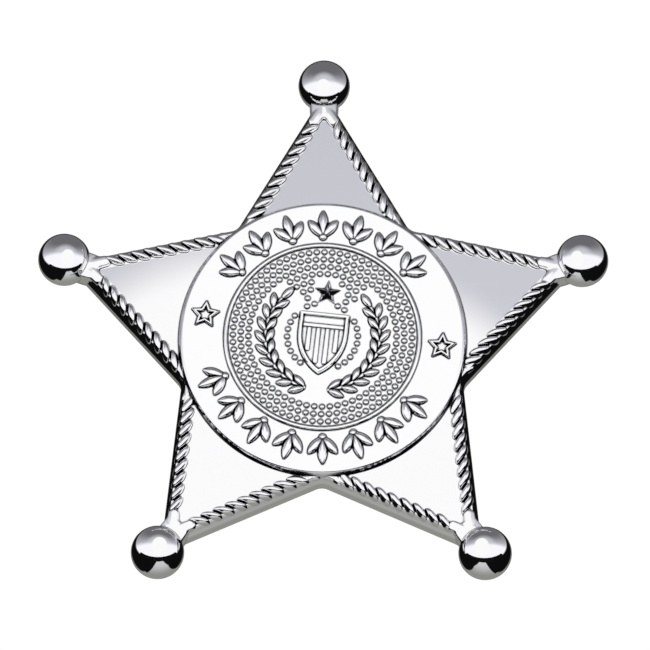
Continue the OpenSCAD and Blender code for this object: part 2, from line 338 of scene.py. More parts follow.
# Each pair of colours, and where along a part of the direction one turns to the other
CEILING_DIM, CEILING_BRIGHT, CEILING_RAMP = (0.62, 0.62, 0.68), (1.0, 1.0, 1.03), (0.40, 0.12)
BACK_LOW, BACK_HIGH, BACK_RAMP = (0.15, 0.15, 0.16), (0.62, 0.62, 0.665), (0.4, 0.9)
BACKWARD_RAMP, DARK_SLOPE, LIT_RAMP = (0.1, 0.85), 0.75, (-0.18, -0.06)
bright = ramp_between(sky, to_back, *CEILING_RAMP)
overhead = blend_colour(sky, bright, CEILING_DIM, CEILING_BRIGHT)
back_height = ramp_between(sky, upward, *BACK_RAMP)
back_tone = blend_colour(sky, back_height, BACK_LOW, BACK_HIGH)
backward = ramp_between(sky, to_back, *BACKWARD_RAMP)
walls = blend_colour(sky, backward, overhead, back_tone)
lean = math_node(sky, "MULTIPLY_ADD", to_back, DARK_SLOPE, upward)
lit_part = ramp_between(sky, lean, *LIT_RAMP)
room = blend_colour(sky, lit_part, BLACK, walls)
print("room painted with", len(sky.nodes), "nodes")

# %% [markdown]
# ## The table and the ground
# The table in front is what the side of each edge shows, between its black lines. It
# narrows upwards, as a table does in a mirror. The balls also look down past it, at a
# darker ground. Both are mixed over the room, by shares that are multiplied.

# %% Lay the table and the ground
TABLE_NEAR, TABLE_FAR, TABLE_RAMP = (0.28, 0.28, 0.26), (0.62, 0.63, 0.64), (-0.8, 0.4)
GROUND, GROUND_RAMP = (0.2, 0.2, 0.19), (-0.78, -0.86)
# Half the wedge's width at eye level, how it narrows upwards, and from what height on
WEDGE_HALF, WEDGE_SLOPE, WEDGE_FOOT = 0.48, -0.5, -0.05
SIDE_RAMP, FRONT_RAMP, TOP_RAMP = (-0.02, 0.03), (0.0, -0.1), (0.46, 0.40)
across = math_node(sky, "ABSOLUTE", to_right)
up_wedge = math_node(sky, "MAXIMUM", upward, WEDGE_FOOT)
half_width = math_node(sky, "MULTIPLY_ADD", up_wedge, WEDGE_SLOPE, WEDGE_HALF)
inside = math_node(sky, "SUBTRACT", half_width, across)
in_wedge = ramp_between(sky, inside, *SIDE_RAMP)
in_front = ramp_between(sky, to_back, *FRONT_RAMP)
under_top = ramp_between(sky, upward, *TOP_RAMP)
wedge_front = math_node(sky, "MULTIPLY", in_wedge, in_front)
table_share = math_node(sky, "MULTIPLY", wedge_front, under_top)
table_height = ramp_between(sky, upward, *TABLE_RAMP)
table_light = blend_colour(sky, table_height, TABLE_NEAR, TABLE_FAR)
ground_share = ramp_between(sky, upward, *GROUND_RAMP)
grounded = blend_colour(sky, ground_share, room, GROUND)
final = blend_colour(sky, table_share, grounded, table_light)
sky.links.new(final, sky.nodes["Background"].inputs["Color"])
print("table and ground laid,", len(sky.nodes), "nodes in all")

# %% [markdown]
# ## Starting a piece
# Each piece starts from a primitive, which an operator adds at its size and place. All
# else is deselected first, because operators act on everything that is selected. Sizes
# are given in millimetres, as a maker says them.

# %% Deselect and start
def deselect():
    if bpy.context.object and bpy.context.object.mode != "OBJECT":
        bpy.ops.object.mode_set(mode="OBJECT")
    bpy.ops.object.select_all(action="DESELECT")


def start(name, primitive, **sizes):
    """Adds a primitive as a new object; lengths among the sizes are in mm."""
    deselect()
    for word in ("radius", "radius1", "depth", "size", "major_radius", "minor_radius"):
        if word in sizes:
            sizes[word] *= MM
    if "location" in sizes:
        sizes["location"] = Vector(sizes["location"]) * MM
    primitive(**sizes)
    piece = bpy.context.object
    piece.name = piece.data.name = name
    bpy.ops.object.transform_apply(location=True, rotation=True, scale=True)
    return piece


print("pieces start in millimetres of", MM, "m")

# %% [markdown]
# ## The ceiling card
# A card of light hangs over the badge and makes the fields white. A plain plane would
# show its corners in the balls, so its light falls off in an oval, sooner to the right
# than to the left, and the rest of the card lets light through. It also ends in front,
# over the black card. The mirror sees it, the camera doesn't.

# %% Hang the ceiling card
def emission(name, colour, strength):
    material = bpy.data.materials.new(name)
    material.use_nodes = True
    tree = material.node_tree
    tree.nodes.remove(tree.nodes["Principled BSDF"])
    glow = node(tree, "ShaderNodeEmission", Strength=strength)
    glow.inputs["Color"].default_value = (*colour, 1)
    tree.links.new(glow.outputs["Emission"], tree.nodes["Material Output"].inputs["Surface"])
    return material


def let_through(material, share):
    """Leaves the glow only where the share is 1 and makes the card clear elsewhere."""
    tree = material.node_tree
    clear = node(tree, "ShaderNodeBsdfTransparent")
    mixed = node(tree, "ShaderNodeMixShader")
    tree.links.new(share, mixed.inputs[0])
    tree.links.new(clear.outputs[0], mixed.inputs[1])
    tree.links.new(tree.nodes["Emission"].outputs[0], mixed.inputs[2])
    tree.links.new(mixed.outputs[0], tree.nodes["Material Output"].inputs["Surface"])


def hide_from(piece, *rays):
    for ray in rays:
        setattr(piece, "visible_" + ray, False)


WHITE, WHITE_LIGHT = (1, 1, 1), 1.02
CEILING_SIZE, CEILING_Z = 400, 120
# The oval's half sizes and how far its middle lies to the left and in front, in mm
OVAL_HALF, OVAL_LEFT, OVAL_NEAR = (60, 80), 8, 20
# Its light goes from none to full between these multiples of the oval
OVAL_NONE, OVAL_FULL = 1.36, 1.18
FRONT_NONE, FRONT_FULL = -126, -120
ceiling = start("ceiling", bpy.ops.mesh.primitive_plane_add, size=CEILING_SIZE,
                location=(0, 0, CEILING_Z))
ceiling_light = emission("ceiling_light", WHITE, WHITE_LIGHT)
tree = ceiling_light.node_tree
place, parts = object_place(tree)
in_oval = mapped(tree, place,
                 Location=(OVAL_LEFT / OVAL_HALF[0], OVAL_NEAR / OVAL_HALF[1], 0),
                 Scale=(1 / OVAL_HALF[0] / MM, 1 / OVAL_HALF[1] / MM, 0))
reach = node(tree, "ShaderNodeVectorMath", operation="LENGTH")
tree.links.new(in_oval, reach.inputs[0])
from_middle = ramp_between(tree, reach.outputs["Value"], OVAL_NONE, OVAL_FULL)
from_front = ramp_between(tree, parts[1], FRONT_NONE * MM, FRONT_FULL * MM)
let_through(ceiling_light, math_node(tree, "MULTIPLY", from_middle, from_front))
ceiling.data.materials.append(ceiling_light)
hide_from(ceiling, "camera", "shadow")
print("ceiling card at", CEILING_Z, "mm")

# %% [markdown]
# ## The black card
# Polished metal looks like metal by its black lines, which come from black cards. This
# one stands in front of the badge. It is cut out in the middle, where the pale table
# shows, and the opening narrows upwards. The cut could be modelled, but in the material
# it can be moved by one number. The card's foot is picked by its place, as all corners,
# edges and faces are from here on, and moved up.

# %% Stand the black card in front
def pick(piece, kind="VERT", test=lambda at: True):
    """Goes to edit mode with just the corners, edges or faces picked that pass the test,
    which gets the middle of each in mm."""
    bpy.context.view_layer.objects.active = piece
    bpy.ops.object.mode_set(mode="EDIT")
    bpy.ops.mesh.select_mode(type=kind)
    bpy.ops.mesh.select_all(action="DESELECT")
    bpy.ops.object.mode_set(mode="OBJECT")
    mesh = piece.data
    if kind == "FACE":
        for face in mesh.polygons:
            face.select = bool(test(face.center / MM))
    elif kind == "EDGE":
        for edge in mesh.edges:
            first, last = (mesh.vertices[i].co for i in edge.vertices)
            edge.select = bool(test((first + last) / 2 / MM))
    else:
        for corner in mesh.vertices:
            corner.select = bool(test(corner.co / MM))
    bpy.ops.object.mode_set(mode="EDIT")


def move(x, y, z):
    bpy.ops.transform.translate(value=(x * MM, y * MM, z * MM))


CARD_Y, CARD_TOP, CARD_FOOT, CARD_SIZE = -122, 92, -100, 1000
OPEN_TOP, OPEN_HALF, OPEN_SLOPE = 46, 50, -0.35
black_card = start("dark_card", bpy.ops.mesh.primitive_plane_add, size=CARD_SIZE,
                   location=(0, CARD_Y, CARD_TOP - CARD_SIZE / 2), rotation=(math.pi / 2, 0, 0))
pick(black_card, "VERT", lambda at: at.z < 0)
move(0, 0, CARD_SIZE - CARD_TOP + CARD_FOOT)
bpy.ops.object.mode_set(mode="OBJECT")
card_black = emission("card_black", BLACK, 1.0)
tree = card_black.node_tree
place, parts = object_place(tree)
off_middle = math_node(tree, "ABSOLUTE", parts[0])
limit = math_node(tree, "MULTIPLY_ADD", parts[2], OPEN_SLOPE, OPEN_HALF * MM)
beside = math_node(tree, "GREATER_THAN", off_middle, limit)
above = math_node(tree, "GREATER_THAN", parts[2], OPEN_TOP * MM)
let_through(card_black, math_node(tree, "MAXIMUM", beside, above))
black_card.data.materials.append(card_black)
hide_from(black_card, "camera", "shadow", "diffuse")
print("black card", -CARD_Y, "mm in front")

# %% [markdown]
# ## The floor and the backdrop
# The badge lies on plain white, as in a catalogue. A big plane and a big ball round the
# set make it white in every view. Both glow instead of being lit, so that no shadow or
# corner shows, and the mirror doesn't see them, because the world shader has its own.

# %% Lay the floor and close the set
FLOOR_SIZE, BACKDROP_R = 3000, 1600
floor = start("floor", bpy.ops.mesh.primitive_plane_add, size=FLOOR_SIZE, location=(0, 0, 0))
floor.data.materials.append(emission("floor_white", WHITE, WHITE_LIGHT))
hide_from(floor, "glossy")
backdrop = start("backdrop", bpy.ops.mesh.primitive_uv_sphere_add, radius=BACKDROP_R,
                 segments=48, ring_count=24)
backdrop.data.materials.append(emission("backdrop_white", WHITE, WHITE_LIGHT))
hide_from(backdrop, "glossy", "diffuse", "transmission", "shadow")
bpy.context.scene.view_settings.view_transform = "Standard"
bpy.context.scene.view_settings.look = "None"
print("set closed at", BACKDROP_R, "mm")

# %% [markdown]
# ## Sections and finishing
# A cast or struck edge has a section, like a moulding. It can be swept along a path,
# but one face that is inset again and again follows every corner by itself. Modifiers
# and clean normals finish a piece.

# %% Scale, follow a section, apply modifiers and smooth
def scale(x, y, z, about=(0, 0, 0)):
    bpy.ops.transform.resize(value=(x, y, z), center_override=Vector(about) * MM)


def raise_up(height):
    bpy.ops.mesh.extrude_region_move(TRANSFORM_OT_translate={"value": (0, 0, height * MM)})


def follow(section):
    """Insets the picked face from point to point; each is a distance in and a height."""
    for (in_0, height_0), (in_1, height_1) in zip(section, section[1:]):
        bpy.ops.mesh.inset(thickness=(in_1 - in_0) * MM, depth=(height_1 - height_0) * MM)


def choose(piece):
    """Makes the piece the only one that is selected, and the active one."""
    deselect()
    piece.select_set(True)
    bpy.context.view_layer.objects.active = piece


def done(piece, smooth):
    """Back to object mode, faces outwards, smooth where the surface turns gently."""
    bpy.ops.object.mode_set(mode="EDIT")
    bpy.ops.mesh.select_all(action="SELECT")
    bpy.ops.mesh.remove_doubles(threshold=0.0005 * MM)
    bpy.ops.mesh.normals_make_consistent(inside=False)
    bpy.ops.object.mode_set(mode="OBJECT")
    choose(piece)
    bpy.ops.object.shade_smooth_by_angle(angle=math.radians(smooth))


def modify(piece, kind, **settings):
    choose(piece)
    bpy.ops.object.modifier_add(type=kind)
    modifier = piece.modifiers[-1]
    for word, value in settings.items():
        setattr(modifier, word, value)
    bpy.ops.object.modifier_apply(modifier=modifier.name)


print("section helpers ready")

# %% [markdown]
# ## The star plate
# The casting is a star with a rounded shoulder, a low bed for the rope and a mirror flat
# field. It could be drawn as a profile and swept, but a sweep tears at the five points.
# A ten sided face is made a star by drawing in every other corner, raised, and inset
# along the edge's section, which keeps every corner whole.

# %% Shape the star plate
TIP_R, NOTCH_R, NOTCH_FILLET, NOTCH_STEPS = 32.8, 18.0, 1.5, 8
# Half the angle between two arms
HALF_STEP = 36
FIELD_H = 1000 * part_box("centre_disc")[0].z
# The edge's section from the wall inwards: distance in from the outline, and height
# over the field
EDGE_SECTION = ((0.0, -1.35), (0.03, -1.15), (0.13, -0.93), (0.26, -0.7), (0.38, -0.46),
                (0.48, -0.24), (0.57, -0.04), (0.66, 0.1), (0.76, 0.18), (0.88, 0.2),
                (1.02, 0.17), (1.2, 0.1), (1.7, 0.04), (1.88, 0.01), (1.98, 0.0),
                (2.01, 0.0))
# The notch's place along an arm and beside it, and half the angle at the arm's tip
NOTCH_ALONG = NOTCH_R * math.cos(math.radians(HALF_STEP))
NOTCH_ASIDE = NOTCH_R * math.sin(math.radians(HALF_STEP))
TIP_HALF = math.degrees(math.atan2(NOTCH_ASIDE, TIP_R - NOTCH_ALONG))


def angle_of(at):
    return math.degrees(math.atan2(at.y, at.x))


def in_notch(at):
    """True nearer to a notch than to a point, on a star with a point towards +Y."""
    return math.cos(math.radians(5 * (angle_of(at) - 90))) < 0


plate = start("star_plate", bpy.ops.mesh.primitive_circle_add, vertices=10, radius=TIP_R,
              fill_type="NGON")
pick(plate, "VERT", in_notch)
scale(NOTCH_R / TIP_R, NOTCH_R / TIP_R, 1)
corner_cut = NOTCH_FILLET * math.tan(math.radians(90 - TIP_HALF - HALF_STEP))
bpy.ops.mesh.bevel(offset=corner_cut * MM, segments=NOTCH_STEPS, affect="VERTICES")
bpy.ops.mesh.select_all(action="SELECT")
raise_up(FIELD_H + EDGE_SECTION[0][1])
follow(EDGE_SECTION)
done(plate, 35)
print("star plate:", len(plate.data.polygons), "faces")

# %% [markdown]
# ## The hollow back
# A casting is hollow behind, to save metal, and its plate has a slot behind the pin so
# that cloth has room. The hollow follows the outline, so it is one inset and one
# extrusion of the bottom face. The slot is cut out by a box.

# %% Hollow the back and cut the slot
HOLLOW_H, RIM_W = 1.6, 1.7
PIN_Y, SLOT_L, SLOT_W, SLOT_H = 4.0, 24.8, 6.0, 3
pick(plate, "FACE", lambda at: at.z < 0.01)
bpy.ops.mesh.inset(thickness=RIM_W * MM)
raise_up(HOLLOW_H)
done(plate, 35)
slot_at = (0, PIN_Y, FIELD_H)
cutter = start("cutter", bpy.ops.mesh.primitive_cube_add, size=1, location=slot_at)
pick(cutter)
scale(SLOT_L, SLOT_W, SLOT_H, about=slot_at)
bpy.ops.object.mode_set(mode="OBJECT")
modify(plate, "BOOLEAN", operation="DIFFERENCE", object=cutter, solver="EXACT")
bpy.data.objects.remove(cutter)
done(plate, 35)
print("hollowed plate:", len(plate.data.polygons), "faces")

# %% [markdown]
# ## Helpers for copies
# A place is a matrix: turned, shifted or stretched. Linked copies or an array modifier
# could lay what repeats, but here each copy gets a mesh of its own, moved by its
# matrix, and the copies are joined.

# %% Turn, shift, stretch and repeat
def turn(angle, axis="Z"):
    return Matrix.Rotation(math.radians(angle), 4, axis)


def shift(x, y, z):
    return Matrix.Translation(Vector((x, y, z)) * MM)


def stretch(x, y, z):
    return Matrix.Diagonal((x, y, z, 1))


def join(name, pieces):
    deselect()
    for piece in pieces:
        piece.select_set(True)
    bpy.context.view_layer.objects.active = pieces[0]
    bpy.ops.object.join()
    pieces[0].name = pieces[0].data.name = name
    return pieces[0]


def repeat(name, model, places):
    """Copies of a model, each with its own mesh at its own place, joined as one."""
    copies = []
    for place in places:
        copy = bpy.data.objects.new(name, model.data.copy())
        copy.data.transform(place)
        if place.determinant() < 0:
            copy.data.flip_normals()
        bpy.context.scene.collection.objects.link(copy)
        copies.append(copy)
    bpy.data.objects.remove(model)
    return join(name, copies)


def arm_turn(arm):
    """Turns the +X axis onto an arm, of which the first points to +Y."""
    return turn(90 + 2 * HALF_STEP * arm)


def edge_in_arm(side):
    """The frame of one edge beside the X axis: X from the corner to the tip, Y inwards."""
    return stretch(1, side, 1) @ shift(NOTCH_ALONG, -NOTCH_ASIDE, 0) @ turn(TIP_HALF)


print("half an arm's tip angle:", round(TIP_HALF, 1), "degrees")

# %% [markdown]
# ## The rope border
# A rope's strands are plump where they cross the top and thin where they dive under
# their neighbours. A strand could be a swept curve. Here it is a subdivided cube that is
# drawn most of the way to a ball, which gives it blunt ends. It is laid in a slanted
# frame, because the groove between two strands then runs along them. It is copied along
# all ten edges, mirrored on one side of each arm so that the twist runs the same way all
# round. Near the corners the strands fade into the plain bed.

# %% Lay the strands
STRAND_PITCH, STRAND_MID, STRAND_SINK = 1.6, 1.2, 0.36
# Half sizes along the edge, along the strand and upwards; the strand's slant and dip
STRAND_HALF, STRAND_ANGLE, STRAND_DIP = (0.89, 1.28, 1.24), 44, 8
STRAND_FIRST, STRANDS, STRAND_ROUND = 1.1, 10, 0.85
# Height shares of the first strands, and how much the strands slim towards the tip
STRAND_FADE, STRAND_SLIM = (0.45, 0.75, 0.95), 0.1
# What lies deeper than this under a strand's middle is hidden in the plate
STRAND_CUT = 0.6
# Cuts along each side of a lump's cube
LUMP_CUTS = 7


def cut_away(piece, test):
    pick(piece, "FACE", test)
    bpy.ops.mesh.delete(type="FACE")


def lump(name, half, roundness, place):
    """A plump bar with the given half sizes in mm; roundness 0 is a block, 1 a ball."""
    bar = start(name, bpy.ops.mesh.primitive_cube_add, size=2)
    pick(bar)
    bpy.ops.mesh.subdivide(number_cuts=LUMP_CUTS)
    bpy.ops.transform.tosphere(value=roundness)
    bpy.ops.object.mode_set(mode="OBJECT")
    reach = [max(v.co[i] for v in bar.data.vertices) / MM for i in range(3)]
    bar.data.transform(place @ stretch(*(h / r for h, r in zip(half, reach))))
    return bar


# The slanted frame's X runs along the edge and its Y along the strand
slant = Matrix.Identity(4)
slant[0][1] = math.cos(math.radians(STRAND_ANGLE))
slant[1][1] = math.sin(math.radians(STRAND_ANGLE))
strand = lump("strand", STRAND_HALF, STRAND_ROUND, slant)
cut_away(strand, lambda at: at.z < -STRAND_CUT)
done(strand, 60)
places = []
for arm in range(5):
    for side in (1, -1):
        for i in range(STRANDS):
            fade = STRAND_FADE[i] if i < len(STRAND_FADE) else 1
            slim = 1 - STRAND_SLIM * i / STRANDS
            along = STRAND_FIRST + i * STRAND_PITCH
            places.append(arm_turn(arm) @ edge_in_arm(side)
                          @ shift(along, STRAND_MID, FIELD_H - STRAND_SINK)
                          @ turn(-STRAND_DIP, "X") @ stretch(-side * slim, slim, fade))
ropes = repeat("rope_border", strand, places)
done(ropes, 60)
print("rope border:", len(places), "strands,", len(ropes.data.polygons), "faces")

# %% [markdown]
# ## The collars at the tips
# The two ropes of an arm end in a smooth V, which flows into a round neck and up to the
# ball through a hollow curve. Such a blend could be drawn face by face. It is easier to
# overlap plump lumps, skin them with a voxel remesh and melt the skin by smoothing.
# What lies inside the ball or under the plate is cut away again.

# %% Melt the legs and the neck into a collar
BALL_R, BALL_AT, BALL_Z = 3.2, 33.3, 2.4
LEG_AT, LEG_MID, LEG_HALF, LEG_ROUND = 18.4, 1.15, (2.6, 0.8, 0.8), 0.6
NECK_AT, NECK_Z, NECK_HALF, NECK_ROUND = 30.6, 1.55, (2.0, 1.8, 2.0), 0.35
# The neck also melts into a core, which is this much smaller than the ball
CORE_INSET = 0.35
COLLAR_GRAIN, COLLAR_MELT = 0.08, 16
# Collar and ball stand this far over the surface, so that no two faces lie in one plane
COLLAR_FLAT, BALL_FLAT = 0.04, 0.02
# What of the collar lies deeper than this in the ball or under the field is cut away
IN_BALL, UNDER_FIELD = 0.02, 0.4
ball_middle = Vector((BALL_AT, 0, BALL_Z))


def flatten_under(piece, height):
    """Cuts off all that is lower than the height in mm and closes the cut."""
    pick(piece)
    bpy.ops.mesh.bisect(plane_co=(0, 0, height * MM), plane_no=(0, 0, 1), use_fill=True,
                        clear_inner=True, threshold=1e-7)


def hidden_in_collar(at):
    """True in the ball, but for the flat underneath, and under the field, but for the
    neck, which shows from the side."""
    in_ball = at.z > COLLAR_FLAT + 0.01 and (at - ball_middle).length < BALL_R - IN_BALL
    return in_ball or (at.x < NECK_AT - 1 and at.z < FIELD_H - UNDER_FIELD)


legs = [lump("leg", LEG_HALF, LEG_ROUND, edge_in_arm(side) @ shift(LEG_AT, LEG_MID, FIELD_H))
        for side in (1, -1)]
# The second leg is mirrored, so its faces point inwards until they are flipped
legs[1].data.flip_normals()
neck = lump("neck", NECK_HALF, NECK_ROUND, shift(NECK_AT, 0, NECK_Z))
core = start("core", bpy.ops.mesh.primitive_uv_sphere_add, radius=BALL_R - CORE_INSET,
             segments=48, ring_count=32, location=ball_middle)
collar = join("collar", [*legs, neck, core])
modify(collar, "REMESH", mode="VOXEL", voxel_size=COLLAR_GRAIN * MM)
modify(collar, "SMOOTH", factor=0.5, iterations=COLLAR_MELT)
flatten_under(collar, COLLAR_FLAT)
cut_away(collar, hidden_in_collar)
done(collar, 80)
print("collar:", len(collar.data.polygons), "faces")

# %% [markdown]
# ## The balls
# A mirror shows every facet of a remeshed ball, so the balls are clean spheres. Their
# poles lie along the arm, where they are hidden or least in view. A whole ball would
# reach under the surface that the badge lies on, so a flat is cut underneath. Ball and
# collar are copied to all five tips.

# %% Set all five tips
ball = start("ball", bpy.ops.mesh.primitive_uv_sphere_add, radius=BALL_R, segments=64,
             ring_count=48, rotation=(0, math.pi / 2, 0), location=ball_middle)
flatten_under(ball, BALL_FLAT)
done(ball, 50)
tip = join("ball_tip", [ball, collar])
tips = repeat("ball_tips", tip, [arm_turn(arm) for arm in range(5)])
print("ball tips:", len(tips.data.polygons), "faces")

# %% [markdown]
# ## The medallion
# The medallion is struck from sheet, so it has a soft rounded edge, a mirror flat band
# and one thin raised ring. It could be spun from a profile. A many sided face that is
# inset along its section gives the same. Narrow extra insets beside each bend hold the
# flat parts truly flat, or the mirror would show them bent.

# %% Turn the medallion
DISC_R, DISC_T, DISC_ROUND, DISC_FOOT_R, DISC_SIDES = 17.2, 1.0, 0.15, 17.6, 256
# The rim's section: distance in from its foot, and height over the field
RIM_SECTION = ((0.0, 0.02), (0.03, 0.12), (0.1, 0.32), (0.19, 0.54), (0.29, 0.75),
               (0.37, 0.87), (0.47, 0.95), (0.58, 0.99), (0.68, DISC_T), (0.71, DISC_T))
RING_R, RING_W, RING_RISE, BEND_HOLD = 11.75, 0.5, 0.3, 0.03
RING_ANGLES = (25, 50, 70, 90, 110, 130, 155)
FACE_Z = FIELD_H + DISC_T
# The ring's section: distance out from its middle line, and height over the face
ring = [(RING_W / 2 + BEND_HOLD, 0), (RING_W / 2, 0)]
ring += [(RING_W / 2 * math.cos(math.radians(angle)), RING_RISE * math.sin(math.radians(angle)))
         for angle in RING_ANGLES]
ring += [(-RING_W / 2, 0), (-RING_W / 2 - BEND_HOLD, 0)]
disc = start("medallion", bpy.ops.mesh.primitive_circle_add, vertices=DISC_SIDES,
             radius=DISC_FOOT_R, fill_type="NGON", location=(0, 0, FIELD_H))
pick(disc, "FACE")
raise_up(RIM_SECTION[0][1])
follow([*RIM_SECTION, *((DISC_FOOT_R - RING_R - out, DISC_T + rise) for out, rise in ring)])
done(disc, 40)
print("medallion:", len(disc.data.polygons), "faces")

# %% [markdown]
# ## Room for the beads
# Inside the ring the ground is punched with rows of small beads, which stop short of
# the shield, the wreath and the star. The beads could be cut by those pieces, but a punch
# leaves no half beads, so each place is tested against the three outlines first.

# %% Find where a bead may stand
BEAD_R, BEAD_PITCH, BEAD_GAP, BEAD_ROOM = 0.38, 0.94, 0.25, 0.12
BEAD_CLEAR = BEAD_R + BEAD_ROOM
SHIELD_W, SHIELD_TOP, SHIELD_FLANK, SHIELD_EDGE = 6.0, 2.9, 2.6, 0.5
WREATH_R, LEAF_L, LEAF_W, LEAF_LEAN = 6.9, 2.1, 0.85, 32
# The wreath's ends as angles, and the room for the leaf past its upper end
WREATH_FROM, WREATH_TO, WREATH_END = -78, 38, 16
# The star's radius and gap, and the share of its radius that beads keep clear of
CREST_R, CREST_GAP, CREST_SHARE = 1.7, 1, 0.8
CREST_Y = SHIELD_TOP + CREST_R + CREST_GAP


def bead_free(x, y):
    """True where a bead stands clear of the shield, the wreath and the star."""
    out, angle = math.hypot(x, y), math.degrees(math.atan2(y, abs(x)))
    leaves = LEAF_L * math.sin(math.radians(LEAF_LEAN)) + LEAF_W / 2 + BEAD_CLEAR
    if abs(out - WREATH_R) < leaves and angle < WREATH_TO + WREATH_END:
        return False
    if math.hypot(x, y - CREST_Y) < CREST_R * CREST_SHARE + BEAD_CLEAR:
        return False
    low = min(0, y - SHIELD_TOP + SHIELD_FLANK)
    return not (abs(x) < SHIELD_W / 2 + BEAD_CLEAR and y < SHIELD_TOP + BEAD_CLEAR
                and math.hypot(abs(x) + SHIELD_W / 2, low) < SHIELD_W + BEAD_CLEAR)


print("a bead in the very middle:", bead_free(0, 0))

# %% [markdown]
# ## The beaded ground
# A bead is the upper half of a small sphere, sunk a little. Hundreds are laid, so each
# has only a few dozen faces, and smooth shading makes it round. They stand in rings,
# each row shifted by half a step, and are a touch slimmer than the imported ones, which
# leaves room for the ring of painted shade round each.

# %% Lay the beads
# Share of a bead's radius that stands out, and its width as a share of the imported one's
BEAD_SHARE, BEAD_SLIM = 0.8, 0.94
bead = start("bead", bpy.ops.mesh.primitive_uv_sphere_add, radius=BEAD_R, segments=12,
             ring_count=8)
cut_away(bead, lambda at: at.z < 0)
done(bead, 80)
places = []
row = 0
row_r = RING_R - RING_W / 2 - BEAD_GAP - BEAD_R
while row_r > BEAD_PITCH / 2:
    count = math.floor(2 * math.pi * row_r / BEAD_PITCH)
    for i in range(count):
        angle = 2 * math.pi * (i + row % 2 / 2) / count
        x, y = row_r * math.cos(angle), row_r * math.sin(angle)
        if bead_free(x, y):
            places.append(shift(x, y, FACE_Z - BEAD_R * (1 - BEAD_SHARE))
                          @ stretch(BEAD_SLIM, BEAD_SLIM, 1))
    row, row_r = row + 1, row_r - BEAD_PITCH
beads = repeat("medallion_beads", bead, places)
print("beads:", len(places), "with", len(beads.data.polygons), "faces")

# %% [markdown]
# ## One leaf
# The wreath and the palmettes round the band share one leaf. It could be cut from a
# sheet and puffed up. A stretched ball is quicker: it is drawn to a point at its tip and
# narrowed at its root, ring by ring, and its lower half is cut off. In the end it is one
# long and one wide, so that a copy's stretch is its size in mm.

# %% Shape one leaf
LEAF_RINGS = 10
# Width of the leaf at each ring from root to tip, as a share of a plain ball's there
LEAF_TAPER = (0.75, 0.8, 0.88, 0.95, 1.0, 0.97, 0.85, 0.66, 0.42)
LEAF_RISE = 0.62


def make_leaf():
    leaf = start("leaf", bpy.ops.mesh.primitive_uv_sphere_add, radius=1, segments=16,
                 ring_count=LEAF_RINGS, rotation=(0, math.pi / 2, 0))
    for k, share in enumerate(LEAF_TAPER):
        ring_x = -math.cos(math.pi * (k + 1) / LEAF_RINGS)
        pick(leaf, "VERT", lambda at: abs(at.x - ring_x) < 0.02)
        scale(1, share, 0.5 + 0.5 * share, about=(ring_x, 0, 0))
    cut_away(leaf, lambda at: at.z < 0)
    pick(leaf)
    move(1, 0, 0)
    scale(0.5, 0.5, 1)
    done(leaf, 80)
    return leaf


print("leaf tapers in", len(LEAF_TAPER), "rings")

# %% [markdown]
# ## The palmettes
# Two rows of palmettes fill the band over and under the middle: three leaves that open
# from a berry. One palmette could be joined and copied. The leaves are laid one by one
# instead, by a matrix each, because the outer ones are a little shorter.

# %% Lay the palmettes
# Middle and width in degrees of the two arcs that hold palmettes
PALMETTE_ARCS = ((96, 102), (268, 118))
ROOT_GAP, LEAF_GAP = 0.85, 0.7
PALMETTE_ROOT = RING_R + RING_W / 2 + ROOT_GAP
PALMETTE_L = DISC_R - DISC_ROUND - LEAF_GAP - PALMETTE_ROOT
PALMETTE_PITCH, PALMETTE_W, BERRY_R = 3.75, 1.15, 0.45
# Lean of each leaf in degrees, and its length as a share of the middle one's
PALMETTE_LEAVES = ((-40, 0.8), (40, 0.8), (0, 1))
places, berries = [], []
for middle, width in PALMETTE_ARCS:
    gaps = math.floor(math.radians(width) * PALMETTE_ROOT / PALMETTE_PITCH)
    step = math.degrees(PALMETTE_PITCH / PALMETTE_ROOT)
    for i in range(gaps + 1):
        root = turn(middle + (i - gaps / 2) * step) @ shift(PALMETTE_ROOT, 0, FACE_Z)
        berries.append(root)
        for lean, share in PALMETTE_LEAVES:
            places.append(root @ turn(lean) @ stretch(PALMETTE_L * share, PALMETTE_W, LEAF_RISE))
leaves = repeat("palmette_leaves", make_leaf(), places)
berry = start("berry", bpy.ops.mesh.primitive_uv_sphere_add, radius=BERRY_R, segments=16,
              ring_count=10)
cut_away(berry, lambda at: at.z < 0)
done(berry, 80)
palmettes = join("palmettes", [leaves, repeat("berries", berry, berries)])
done(palmettes, 80)
print("palmettes:", len(berries), "with", len(palmettes.data.polygons), "faces")

# %% [markdown]
# ## The wreath
# Two branches bend round the shield and are open at the top. A curve with a bevel could
# be their stem, but they lie on one circle, so the stem is a torus that is cut at both
# ends and underneath. Leaves stand on it in pairs, with a single one at each upper end.

# %% Bind the wreath
WREATH_PAIRS, STEM_SHARE = 9, 0.3


def off_stem(at):
    angle = angle_of(Vector((abs(at.x), at.y)))
    return at.z < 0 or angle > WREATH_TO or angle < WREATH_FROM


stem = start("stem", bpy.ops.mesh.primitive_torus_add, major_radius=WREATH_R,
             minor_radius=LEAF_W * STEM_SHARE, major_segments=160, minor_segments=12)
cut_away(stem, off_stem)
done(stem, 60)
places = []
for side in (1, -1):
    for i in range(WREATH_PAIRS + 1):
        angle = WREATH_FROM + (WREATH_TO - WREATH_FROM) * i / WREATH_PAIRS
        for lean in ((-LEAF_LEAN, LEAF_LEAN) if i < WREATH_PAIRS else (0,)):
            places.append(stretch(side, 1, 1) @ turn(angle) @ shift(WREATH_R, 0, 0)
                          @ turn(90 + lean) @ stretch(LEAF_L, LEAF_W, LEAF_RISE))
wreath = join("wreath", [repeat("wreath_leaves", make_leaf(), places), stem])
wreath.data.transform(shift(0, 0, FACE_Z))
done(wreath, 80)
print("wreath:", len(places), "leaves")

